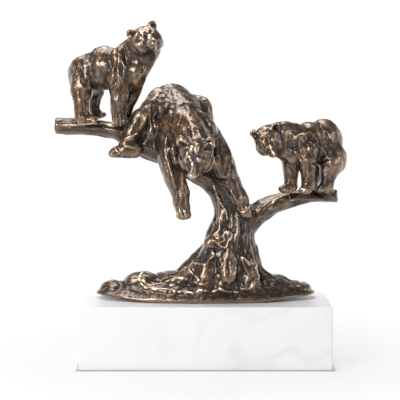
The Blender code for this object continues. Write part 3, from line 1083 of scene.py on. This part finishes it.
    def lay_relief(self, skin: Skin) -> None:
        """Lays the thumb marks on the figures and the bark and rock on the rest.

        Args:
            skin: the casting's skin.
        """
        points = skin.points
        relief = self.relief
        on_trunk, trunk_run, trunk_across = self.wood_at(self.tree_axis, self.trunk_girth, points)
        on_limb, limb_run, limb_across = self.wood_at(self.right_limb_axis, self.limb_girth, points)
        limb_closer = on_limb > on_trunk
        run = np.where(limb_closer, limb_run, trunk_run)
        across = np.where(limb_closer[:, None], limb_across, trunk_across)
        along = run[:, None] * np.array(relief.growth)
        over_block = (points[:, 2] - self.view.block_top) / MM
        rock = 1.0 - unit((over_block - relief.rock_height) / relief.rock_fade)
        other_share = np.maximum(np.maximum(on_trunk, on_limb), rock)
        moves = np.zeros(len(points))
        for index, (x, y, z) in enumerate(points):
            bark = relief.bark(x, y, z, across[index], along[index])
            other = bark * (1.0 - rock[index]) + relief.rock(x, y, z) * rock[index]
            share = other_share[index]
            moves[index] = relief.bears(x, y, z) * (1.0 - share) + other * share
        rim = unit((over_block - relief.rim_height) / relief.rim_fade) ** relief.rim_power
        skin.relief(moves * rim * MM)

    def thin(self, piece: bpy.types.Object) -> None:
        """Thins the mesh to its limit of triangles.

        Args:
            piece: the casting.
        """
        piece.data.calc_loop_triangles()
        share = self.triangle_limit / len(piece.data.loop_triangles)
        if share < 1.0:
            finish_with(piece, "DECIMATE", ratio=share)

    def level_seat(self, piece: bpy.types.Object) -> None:
        """Levels the underside on the solid's own seat and lifts the rim off the block at both ends.

        Args:
            piece: the casting.
        """
        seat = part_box(self.node)[0].z
        points = read_vectors(piece.data, "co")
        points[points[:, 2] < seat + self.seat_skin, 2] = seat
        out = unit((np.abs(points[:, 0]) - self.rim_starts) / (self.rim_ends - self.rim_starts))
        thin = unit(1.0 - (points[:, 2] - seat) / self.rim_height)
        points[:, 2] += self.rim_lift * eased(out) * thin
        write_points(piece.data, points)

    def weather(self, piece: bpy.types.Object, rubs: Sequence[Rub]) -> None:
        """Stores where the surface is wood, proud, worn or sunk as attributes of its points.

        Args:
            piece: the casting.
            rubs: the rows of places worn through by hand.
        """
        points = read_vectors(piece.data, "co")
        forms = self.wear.forms(piece.data)
        on_trunk = self.wood_at(self.tree_axis, self.trunk_girth, points)[0]
        on_limb = self.wood_at(self.right_limb_axis, self.limb_girth, points)[0]
        looks = {
            "wood": np.maximum(on_trunk, on_limb),
            "rubbed": self.wear.raised(forms),
            "worn": self.wear.worn(points, rubs),
            # sunk darkens the bronze: partly sooty patina, partly painted shade in deep recesses.
            "sunk": self.wear.sunk(forms),
        }
        for name, values in looks.items():
            attribute = piece.data.attributes.new(name, "FLOAT", "POINT")
            attribute.data.foreach_set("value", values.astype(np.float32))


class Term:
    """A socket's value inside a shader sum, written with ordinary operators."""

    def __init__(self, graph: "Graph", socket: bpy.types.NodeSocket) -> None:
        """Keeps the socket and the graph that it stands in."""
        self.graph = graph
        self.socket = socket

    def joined(self, operation: str, first: Any, second: Any) -> "Term":
        """Adds a Math node over two values.

        Args:
            operation: the node's operation.
            first: a term or number.
            second: a term or number.

        Returns:
            The node's result.
        """
        return self.graph.term("ShaderNodeMath", {"operation": operation}, {0: first, 1: second})

    def __add__(self, other: Any) -> "Term":
        """This plus another."""
        return self.joined("ADD", self, other)

    def __radd__(self, other: Any) -> "Term":
        """Another plus this."""
        return self.joined("ADD", other, self)

    def __sub__(self, other: Any) -> "Term":
        """This less another."""
        return self.joined("SUBTRACT", self, other)

    def __rsub__(self, other: Any) -> "Term":
        """Another less this."""
        return self.joined("SUBTRACT", other, self)

    def __mul__(self, other: Any) -> "Term":
        """This times another."""
        return self.joined("MULTIPLY", self, other)

    def __rmul__(self, other: Any) -> "Term":
        """Another times this."""
        return self.joined("MULTIPLY", other, self)

    def size(self) -> "Term":
        """This without its sign."""
        return self.joined("ABSOLUTE", self, 0.0)

    def larger(self, other: Any) -> "Term":
        """The larger of this and another."""
        return self.joined("MAXIMUM", self, other)

    def clipped(self) -> "Term":
        """This kept between 0 and 1."""
        return self.graph.term("ShaderNodeClamp", {}, {0: self})


class Noise(NamedTuple):
    """The settings of one noise texture."""

    scale: float
    detail: float
    roughness: float = 0.55


class Graph:
    """The nodes of one material or world."""

    def __init__(self, tree: bpy.types.NodeTree) -> None:
        """Keeps the tree."""
        self.tree = tree

    def node(self, kind: str, settings: dict[str, Any], values: dict[str | int, Any]) -> bpy.types.Node:
        """Adds any node.

        Args:
            kind: the node's type.
            settings: its properties by name, set first.
            values: a value, term or socket for each socket by name or number.

        Returns:
            The node.
        """
        node = self.tree.nodes.new(kind)
        for name, value in settings.items():
            setattr(node, name, value)
        for key, value in values.items():
            self.feed(node.inputs[key], value)
        return node

    def term(
        self, kind: str, settings: dict[str, Any], values: dict[str | int, Any], output: int | str = 0
    ) -> Term:
        """Adds any node and gives one of its outputs as a term."""
        return Term(self, self.node(kind, settings, values).outputs[output])

    def place(self, output: str = "Object") -> Term:
        """The coordinates of the place that is shaded."""
        return self.term("ShaderNodeTexCoord", {}, {}, output)

    def parts(self, vector: Term) -> list[Term]:
        """The X, Y and Z of a vector."""
        node = self.node("ShaderNodeSeparateXYZ", {}, {0: vector})
        return [Term(self, output) for output in node.outputs]

    def feed(self, socket: bpy.types.NodeSocket, value: Any) -> None:
        """Sets a socket's value or links a term to it.

        Args:
            socket: the input.
            value: a number, colour or term.
        """
        if isinstance(value, Term):
            self.tree.links.new(value.socket, socket)
        else:
            socket.default_value = value

    def mixed(self, factor: Any, first: Any, second: Any) -> Term:
        """Mixes two colours.

        Args:
            factor: how much of the second.
            first: a colour or term.
            second: a colour or term.

        Returns:
            The mixed colour.
        """
        return self.term("ShaderNodeMix", {"data_type": "RGBA"}, {0: factor, 6: first, 7: second}, 2)

    def spots(self, place: Term, look: Noise, output: int | str = 0) -> Term:
        """A noise over a place, between 0 and 1 or as a colour."""
        settings = {"Scale": look.scale, "Detail": look.detail, "Roughness": look.roughness}
        return self.term("ShaderNodeTexNoise", {}, {"Vector": place, **settings}, output)

    def ramp(self, value: Term, *stops: Span) -> Term:
        """Draws a value through a ramp of greys.

        Args:
            value: what is drawn.
            *stops: the place and the grey of each stop.

        Returns:
            The grey.
        """
        node = self.node("ShaderNodeValToRGB", {}, {0: value})
        elements = node.color_ramp.elements
        while len(elements) < len(stops):
            elements.new(0.5)
        for element, (place, grey) in zip(elements, stops):
            element.position = place
            element.color = (grey, grey, grey, 1.0)
        return Term(self, node.outputs[0])

    def rise(self, value: Term, span: Span) -> Term:
        """A value that starts to count at the span's start and counts in full at its end."""
        return self.ramp(value, (span[0], 0.0), (span[1], 1.0))

    def attribute(self, name: str) -> Term:
        """A number stored on the mesh."""
        return self.term("ShaderNodeAttribute", {"attribute_name": name}, {}, "Fac")


def new_graph(name: str) -> tuple[bpy.types.Material, Graph, bpy.types.Node]:
    """Starts a material.

    Args:
        name: the material's name.

    Returns:
        The material, its graph and its shader.
    """
    material = bpy.data.materials.new(name)
    material.use_nodes = True
    return material, Graph(material.node_tree), material.node_tree.nodes["Principled BSDF"]


@dataclass(frozen=True)
class RubbedBronze:
    """Brown patina under wax, dark in the hollows as patina and painted shade, and rubbed through to
    gold on the ridges.

    A span says where a look starts and where it is full. A share says how much of a look comes from
    its cause at most.
    """

    brown: Colour = (0.106, 0.059, 0.031, 1.0)
    plum: Colour = (0.062, 0.049, 0.048, 1.0)
    bark: Colour = (0.033, 0.022, 0.016, 1.0)
    # Dark of the hollows: sooty patina, and painted shade in the deep recesses.
    soot_and_shade: Colour = (0.030, 0.024, 0.022, 1.0)
    tan: Colour = (0.34, 0.225, 0.143, 1.0)
    gold: Colour = (0.92, 0.70, 0.47, 1.0)
    cloud: Noise = Noise(48.0, 3.0)
    speckle: Noise = Noise(520.0, 3.0, 0.7)
    grit: Noise = Noise(850.0, 2.0, 0.8)
    pores: Noise = Noise(620.0, 3.0, 0.65)
    brown_span: Span = (0.38, 0.62)
    bark_share: float = 0.9
    fleck_span: Span = (0.52, 0.70)
    fleck_share: float = 0.60
    touched_span: Span = (0.25, 0.80)
    touched_evenly: float = 0.5
    touched_by_speckle: float = 0.16
    tan_share: float = 0.7
    tan_lost_on_wood: float = 0.32
    bare_span: Span = (0.22, 1.0)
    bare_evenly: float = 0.60
    bare_by_speckle: float = 0.9
    bare_by_form: float = 0.25
    pit_span: Span = (0.30, 0.46)
    pit_share: float = 0.6
    # How far the hollows darken to the soot colour, partly as patina and partly as painted shade.
    soot_and_shade_span: Span = (0.15, 0.95)
    soot_and_shade_by_speckle: float = 0.1
    metallic: float = 0.75
    roughness: float = 0.20
    soot_and_shade_roughness: float = 0.26
    gold_polish: float = 0.02
    speckle_roughness: float = 0.16
    pore_share: float = 0.7
    bump_strength: float = 0.8
    bump_depth: float = 0.45 * MM
    wax: float = 0.6
    wax_roughness: float = 0.16
    wax_gloss: float = 1.5

    def material(self) -> bpy.types.Material:
        """Makes the material.

        Returns:
            The material.
        """
        material, graph, shader = new_graph("rubbed_bronze")
        place = graph.place()
        cloudy = graph.spots(place, self.cloud)
        speckle = graph.spots(place, self.speckle)
        grit = graph.spots(place, self.grit)
        raised = graph.attribute("rubbed")
        wood = graph.attribute("wood")
        hide = graph.mixed(graph.rise(cloudy, self.brown_span), self.plum, self.brown)
        patina = graph.mixed(self.bark_share * wood, hide, self.bark)
        touch = raised * (self.touched_evenly + cloudy) + self.touched_by_speckle * speckle
        tanned = (self.tan_share - self.tan_lost_on_wood * wood) * graph.rise(touch, self.touched_span)
        rub = graph.attribute("worn") * (self.bare_evenly + self.bare_by_speckle * speckle)
        bare = graph.rise(rub + self.bare_by_form * raised, self.bare_span)
        flecked = graph.mixed(self.fleck_share * graph.rise(grit, self.fleck_span), patina, self.tan)
        dressed = graph.mixed(bare, graph.mixed(tanned, flecked, self.tan), self.gold)
        pitted = self.pit_share * graph.ramp(grit, (self.pit_span[0], 1.0), (self.pit_span[1], 0.0))
        # Hollows darken towards the soot colour, partly as patina and partly as painted shade; pits and
        # speckles add dark patina.
        hollow = graph.attribute("sunk") + self.soot_and_shade_by_speckle * speckle + pitted
        deep = graph.rise(hollow, self.soot_and_shade_span)
        graph.feed(shader.inputs["Base Color"], graph.mixed(deep, dressed, self.soot_and_shade))
        metal = self.metallic + (1.0 - self.metallic) * bare
        graph.feed(shader.inputs["Metallic"], metal.clipped())
        rough = self.roughness + self.soot_and_shade_roughness * deep - self.gold_polish * bare
        graph.feed(shader.inputs["Roughness"], (rough + self.speckle_roughness * speckle).clipped())
        height = self.pore_share * graph.spots(place, self.pores) + (1.0 - self.pore_share) * grit
        bump = {"Strength": self.bump_strength, "Distance": self.bump_depth, "Height": height}
        graph.feed(shader.inputs["Normal"], graph.term("ShaderNodeBump", {}, bump))
        shader.inputs["Coat Weight"].default_value = self.wax
        shader.inputs["Coat Roughness"].default_value = self.wax_roughness
        shader.inputs["Coat IOR"].default_value = self.wax_gloss
        return material


@dataclass(frozen=True)
class PolishedMarble:
    """White marble, polished, with faint grey and rose veins."""

    white: Colour = (0.852, 0.840, 0.848, 1.0)
    cloud: Colour = (0.825, 0.811, 0.819, 1.0)
    vein: Colour = (0.64, 0.61, 0.62, 1.0)
    drift: Noise = Noise(7.0, 2.0, 0.5)
    drift_share: float = 0.12
    streaks: Noise = Noise(9.0, 3.0, 0.5)
    streak_stops: tuple[Span, ...] = ((0.47, 0.0), (0.50, 1.0), (0.53, 0.0))
    patches: Noise = Noise(11.0, 2.0)
    patch_span: Span = (0.50, 0.66)
    clouds: Noise = Noise(16.0, 5.0, 0.6)
    cloud_span: Span = (0.40, 0.75)
    vein_share: float = 0.36
    roughness: float = 0.28
    shine: float = 0.25
    depth: float = 0.08
    depth_reach: Share = (0.004, 0.0035, 0.003)

    def material(self) -> bpy.types.Material:
        """Makes the material.

        Returns:
            The material.
        """
        material, graph, shader = new_graph("white_marble")
        place = graph.place()
        bent = graph.mixed(self.drift_share, place, graph.spots(place, self.drift, "Color"))
        vein = graph.ramp(graph.spots(bent, self.streaks), *self.streak_stops)
        patch = graph.rise(graph.spots(place, self.patches), self.patch_span)
        cloudy = graph.rise(graph.spots(place, self.clouds), self.cloud_span)
        stone = graph.mixed(cloudy, self.white, self.cloud)
        veined = graph.mixed(self.vein_share * vein * patch, stone, self.vein)
        graph.feed(shader.inputs["Base Color"], veined)
        shader.inputs["Roughness"].default_value = self.roughness
        shader.inputs["Specular IOR Level"].default_value = self.shine
        shader.inputs["Subsurface Weight"].default_value = self.depth
        shader.inputs["Subsurface Radius"].default_value = self.depth_reach
        return material


@dataclass
class MarbleBlock:
    """The marble block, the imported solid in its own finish."""

    node: str = "marble_plinth"

    @property
    def top(self) -> float:
        """The height of its top."""
        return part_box(self.node)[1].z

    def dress(self, finish: PolishedMarble) -> bpy.types.Object:
        """Gives the solid its finish.

        Args:
            finish: the marble.

        Returns:
            The solid.
        """
        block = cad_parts[self.node]
        block.data.materials.clear()
        block.data.materials.append(finish.material())
        return block


class SoftBox(NamedTuple):
    """A square soft box: its name, where it hangs and its side in metres, and its power in watts."""

    name: str
    at: Share
    size: float
    power: float


@dataclass
class Studio:
    """A plain white floor and surround under plain soft light.

    The floor glows, less near the work as painted shade round it, and least in a narrow margin round
    the block's base as a painted contact shadow. In the spans, lengths are metres from the middle and
    the sky's are shares of a turn.
    """

    floor_reach: float = 0.9
    floor_corners: int = 96
    floor_colour: Colour = (0.16, 0.16, 0.162, 1.0)
    floor_roughness: float = 0.7
    floor_glow: float = 0.90
    # Painted shade: the glow is dimmer near the work.
    near_work_shade_glow: float = 0.78
    near_ends: float = 0.12
    far_starts: float = 0.42
    # Painted contact shadow: the glow drops in a narrow margin round the block.
    contact_shadow_glow: float = 0.3
    contact_shadow_reach: float = 0.004
    block_half_width: float = 0.100
    block_half_depth: float = 0.050
    sky_colour: Colour = (1.0, 1.0, 1.0, 1.0)
    surround: float = 1.1
    behind_work: float = 1.40
    behind_camera: float = 0.22
    behind_span: Span = (0.35, 0.80)
    ceiling: float = 0.16
    ceiling_span: Span = (0.10, 0.45)
    aim_height: float = 0.15
    boxes: tuple[SoftBox, ...] = (
        SoftBox("left_box", (-0.78, -1.10, 0.82), 0.62, 17.0),
        SoftBox("right_box", (1.10, -0.60, 0.60), 0.50, 2.9),
        SoftBox("top_box", (-0.20, 0.30, 1.25), 0.90, 12.0),
    )

    def build(self) -> None:
        """Adds the floor, the sky and the soft boxes, and sets the plain view."""
        self.lay_floor()
        self.light_sky()
        for box in self.boxes:
            self.hang(box)
        bpy.context.scene.view_settings.view_transform = "Standard"

    def lay_floor(self) -> None:
        """Adds the floor, glowing less near the work as painted shade and least round the block as a
        painted contact shadow.
        """
        bare_selection()
        bpy.ops.mesh.primitive_circle_add(
            vertices=self.floor_corners, radius=self.floor_reach, fill_type="NGON"
        )
        floor = bpy.context.active_object
        floor.name = "studio_floor"
        material, graph, shader = new_graph("pale_floor")
        shader.inputs["Base Color"].default_value = self.floor_colour
        shader.inputs["Roughness"].default_value = self.floor_roughness
        shader.inputs["Emission Strength"].default_value = self.floor_glow
        place = graph.place()
        away = graph.term("ShaderNodeVectorMath", {"operation": "LENGTH"}, {0: place}, "Value")
        sideways, deep, _ = graph.parts(place)
        beside = sideways.size() - self.block_half_width
        before = deep.size() - self.block_half_depth
        # Painted contact shadow: the glow drops in a narrow margin round the block.
        painted_contact_shadow = graph.ramp(beside.larger(before), (0.0, self.contact_shadow_glow), (self.contact_shadow_reach, 1.0))
        # Painted shade: the glow is dimmer near the work than far from it.
        glow_with_painted_shade = graph.ramp(away, (self.near_ends, self.near_work_shade_glow), (self.far_starts, 1.0)) * painted_contact_shadow
        graph.feed(shader.inputs["Emission Color"], glow_with_painted_shade)
        floor.data.materials.append(material)

    def light_sky(self) -> None:
        """Lights a white surround that mirrors brighter behind the work than before it."""
        world = bpy.data.worlds.new("studio_sky")
        world.use_nodes = True
        bpy.context.scene.world = world
        graph = Graph(world.node_tree)
        _, deep, up = graph.parts(graph.place("Generated"))
        behind = graph.rise(0.5 + 0.5 * deep, self.behind_span)
        high = graph.rise(up, self.ceiling_span)
        around = self.behind_camera + (self.behind_work - self.behind_camera) * behind
        mirrored = around * (1.0 - high) + self.ceiling * high
        seen = graph.term("ShaderNodeLightPath", {}, {}, "Is Camera Ray")
        background = world.node_tree.nodes["Background"]
        background.inputs["Color"].default_value = self.sky_colour
        graph.feed(background.inputs["Strength"], seen * self.surround + (1.0 - seen) * mirrored)

    def hang(self, box: SoftBox) -> None:
        """Hangs a soft box that faces the work.

        Args:
            box: the soft box.
        """
        bare_selection()
        at = Vector(box.at)
        aim = (Vector((0.0, 0.0, self.aim_height)) - at).to_track_quat("-Z", "Y").to_euler()
        bpy.ops.object.light_add(type="AREA", location=at, rotation=aim)
        lamp = bpy.context.active_object
        lamp.name = box.name
        lamp.data.size = box.size
        lamp.data.energy = box.power


def main() -> None:
    """Builds the work and its studio in order."""
    logging.basicConfig(level=logging.INFO, format="%(name)s: %(message)s")
    block = MarbleBlock()
    view = PhotoView(block_top=block.top)
    view.make_camera()
    stone = block.dress(PolishedMarble())
    log.info("%s dressed", stone.name)
    casting = BronzeCasting(view).build(RubbedBronze())
    log.info("%s has %d faces", casting.name, len(casting.data.polygons))
    Studio().build()
    log.info("studio lit")


if __name__ == "__main__":
    main()
